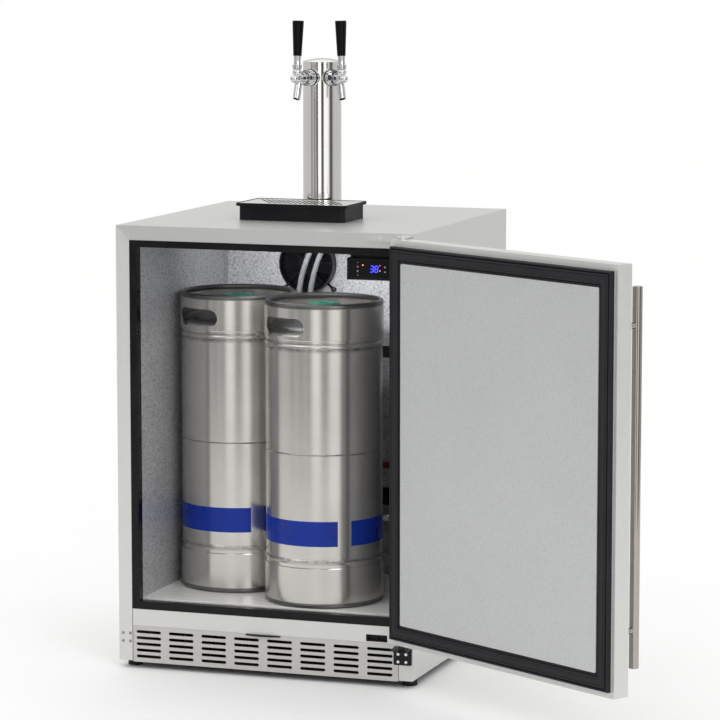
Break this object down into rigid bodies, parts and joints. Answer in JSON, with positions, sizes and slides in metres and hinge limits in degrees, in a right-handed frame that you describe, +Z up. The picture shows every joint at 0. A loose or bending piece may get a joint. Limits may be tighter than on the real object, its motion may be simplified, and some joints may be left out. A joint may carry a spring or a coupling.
{
  "type": "kegerator",
  "caption": "Undercounter stainless kegerator with its hinged door open, two kegs inside, a two-faucet beer tower and a drip tray on top.",
  "frame": {"origin": "on the floor, midway between the four levelling feet", "axes": "+X to the right seen from the front, -Y to the front, +Z up"},
  "size_m": [1.1193, 0.9631, 1.2593],
  "materials": {
    "cabinet_stainless": "satin",
    "galvanised": "satin",
    "tray_stainless": "satin",
    "keg_stainless": "satin",
    "keg_cap_green": "matte",
    "embossed_aluminium": "satin",
    "polished_stainless": "polished",
    "chrome": "polished",
    "black_gloss": "gloss",
    "black_matte": "matte",
    "black_rubber": "matte",
    "black_steel": "satin",
    "copper": "satin",
    "foam": "matte",
    "beer_hose": "gloss"
  },
  "bodies": {
    "cabinet": {"back_panel": "galvanised", "base_pan": "galvanised", "beer_line_left": "beer_hose", "beer_line_right": "beer_hose", "beer_nut_left": "chrome", "beer_nut_right": "chrome", "breaker_strip": "black_gloss", "cabinet_screws": "chrome", "compressor": "black_steel", "condenser_coil": "black_steel", "condenser_fan_frame": "black_matte", "controller_display": "black_gloss", "controller_housing": "black_matte", "door_switch": "black_matte", "fan_guard": "black_matte", "faucet_bodies": "chrome", "faucet_shanks": "chrome", "floor_tray": "tray_stainless", "foam_insulation": "foam", "front_rail": "cabinet_stainless", "gas_line_bushing": "black_matte", "grille_latch": "black_matte", "hinge_bracket_bottom": "black_steel", "hinge_bracket_top": "polished_stainless", "liner": "embossed_aluminium", "power_inlet": "black_matte", "refrigerant_tubing": "copper", "side_panels": "cabinet_stainless", "top_panel": "cabinet_stainless", "tower_cap": "polished_stainless", "tower_column": "polished_stainless", "vent_grille": "cabinet_stainless"},
    "door": {"door_shell": "cabinet_stainless", "door_foam": "foam", "door_liner": "embossed_aluminium", "door_gasket": "black_rubber", "door_handle": "polished_stainless", "door_bushes": "black_matte"},
    "tap_left": {"tap_lever_left": "chrome", "tap_handle_left": "black_gloss"},
    "tap_right": {"tap_lever_right": "chrome", "tap_handle_right": "black_gloss"},
    "cabin_fan": {"fan_blades": "black_matte"},
    "condenser_fan": {"condenser_fan_blades": "black_matte"},
    "button_up": {"controller_button_up": "black_matte"},
    "button_down": {"controller_button_down": "black_matte"},
    "button_light": {"controller_button_light": "black_matte"},
    "button_set": {"controller_button_set": "black_matte"},
    "foot_front_left": {"foot_front_left": "black_rubber"},
    "foot_front_right": {"foot_front_right": "black_rubber"},
    "foot_back_left": {"foot_back_left": "black_rubber"},
    "foot_back_right": {"foot_back_right": "black_rubber"},
    "tray": {"drip_tray": "black_matte"},
    "grid": {"drip_grid": "tray_stainless"},
    "keg_left": {"keg_left_barrel": "keg_stainless", "keg_left_rings": "keg_stainless", "keg_left_cap": "keg_cap_green"},
    "keg_right": {"keg_right_barrel": "keg_stainless", "keg_right_rings": "keg_stainless", "keg_right_cap": "keg_cap_green"}
  },
  "joints": [
    {"name": "door_hinge", "type": "hinge", "parent": "cabinet", "child": "door", "pos_m": [0.292, -0.332, 0.4795], "axis": [0, 0, 1], "range_deg": [-149, 11]},
    {"name": "tap_left_pull", "type": "hinge", "parent": "cabinet", "child": "tap_left", "pos_m": [-0.02491, -0.03982, 1.158], "axis": [0.9763, -0.2164, 0], "range_deg": [0, 35]},
    {"name": "tap_right_pull", "type": "hinge", "parent": "cabinet", "child": "tap_right", "pos_m": [0.05948, -0.01562, 1.158], "axis": [0.7133, 0.7009, 0], "range_deg": [0, 35]},
    {"name": "cabin_fan_spin", "type": "hinge", "parent": "cabinet", "child": "cabin_fan", "pos_m": [-0.083, 0.175, 0.757], "axis": [0, 1, 0], "continuous": true},
    {"name": "condenser_fan_spin", "type": "hinge", "parent": "cabinet", "child": "condenser_fan", "pos_m": [-0.06, -0.085, 0.061], "axis": [0, 1, 0], "continuous": true},
    {"name": "button_up_press", "type": "slide", "parent": "cabinet", "child": "button_up", "axis": [0, 1, 0], "range_m": [0, 0.0008], "stiffness_N_per_m": 300},
    {"name": "button_down_press", "type": "slide", "parent": "cabinet", "child": "button_down", "axis": [0, 1, 0], "range_m": [0, 0.0008], "stiffness_N_per_m": 300},
    {"name": "button_light_press", "type": "slide", "parent": "cabinet", "child": "button_light", "axis": [0, 1, 0], "range_m": [0, 0.0008], "stiffness_N_per_m": 300},
    {"name": "button_set_press", "type": "slide", "parent": "cabinet", "child": "button_set", "axis": [0, 1, 0], "range_m": [0, 0.0008], "stiffness_N_per_m": 300},
    {"name": "foot_front_left_height", "type": "slide", "parent": "cabinet", "child": "foot_front_left", "axis": [0, 0, -1], "range_m": [0, 0.015]},
    {"name": "foot_front_right_height", "type": "slide", "parent": "cabinet", "child": "foot_front_right", "axis": [0, 0, -1], "range_m": [0, 0.015]},
    {"name": "foot_back_left_height", "type": "slide", "parent": "cabinet", "child": "foot_back_left", "axis": [0, 0, -1], "range_m": [0, 0.015]},
    {"name": "foot_back_right_height", "type": "slide", "parent": "cabinet", "child": "foot_back_right", "axis": [0, 0, -1], "range_m": [0, 0.015]},
    {"name": "tray_lift", "type": "slide", "parent": "cabinet", "child": "tray", "axis": [0, 0, 1], "range_m": [0, 0.08]},
    {"name": "grid_lift", "type": "slide", "parent": "tray", "child": "grid", "axis": [0, 0, 1], "range_m": [0, 0.08]},
    {"name": "keg_left_lift", "type": "slide", "parent": "cabinet", "child": "keg_left", "axis": [0, 0, 1], "range_m": [0, 0.04]},
    {"name": "keg_right_lift", "type": "slide", "parent": "cabinet", "child": "keg_right", "axis": [0, 0, 1], "range_m": [0, 0.04]}
  ]
}
